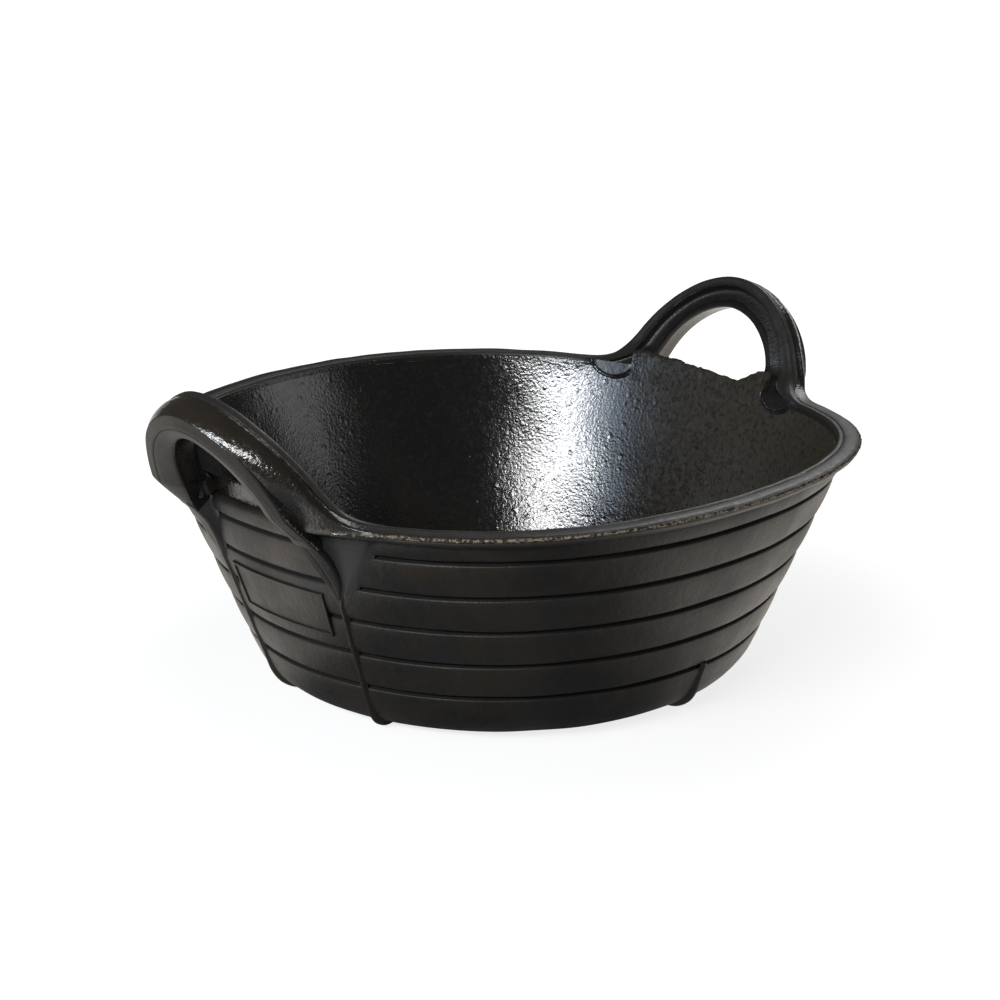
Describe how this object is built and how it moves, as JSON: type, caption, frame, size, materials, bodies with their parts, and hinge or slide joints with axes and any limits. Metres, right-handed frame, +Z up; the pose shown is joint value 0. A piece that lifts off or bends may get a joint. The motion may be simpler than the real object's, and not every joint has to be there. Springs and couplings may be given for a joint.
{
  "type": "rubber tub",
  "caption": "Moulded black rubber tub, 42 cm across the rim and about 14 litres, with two loop handles.",
  "frame": {"origin": "middle of the tub on the plane it stands on", "axes": "+X through the two handles towards the far one, +Z up"},
  "size_m": [0.4722, 0.421, 0.2049],
  "materials": {
    "wall_rubber": "satin",
    "handle_rubber": "glossy",
    "trim_rubber": "satin"
  },
  "bodies": {
    "root": {"side_wall": "wall_rubber", "floor_disc": "wall_rubber", "rim_lip_front": "trim_rubber", "rim_lip_back": "trim_rubber", "near_handle": "handle_rubber", "far_handle": "handle_rubber", "near_shoulder_pad_left": "trim_rubber", "near_shoulder_pad_right": "trim_rubber", "far_shoulder_pad_left": "trim_rubber", "far_shoulder_pad_right": "trim_rubber", "near_handle_tongue_left": "handle_rubber", "near_handle_tongue_right": "handle_rubber", "far_handle_tongue_left": "handle_rubber", "far_handle_tongue_right": "handle_rubber", "near_wall_rib_left": "trim_rubber", "near_wall_rib_right": "trim_rubber", "far_wall_rib_left": "trim_rubber", "far_wall_rib_right": "trim_rubber", "floor_runner_front": "trim_rubber", "floor_runner_back": "trim_rubber", "cross_rib_front": "trim_rubber", "cross_rib_middle": "trim_rubber", "cross_rib_back": "trim_rubber"}
  },
  "joints": []
}
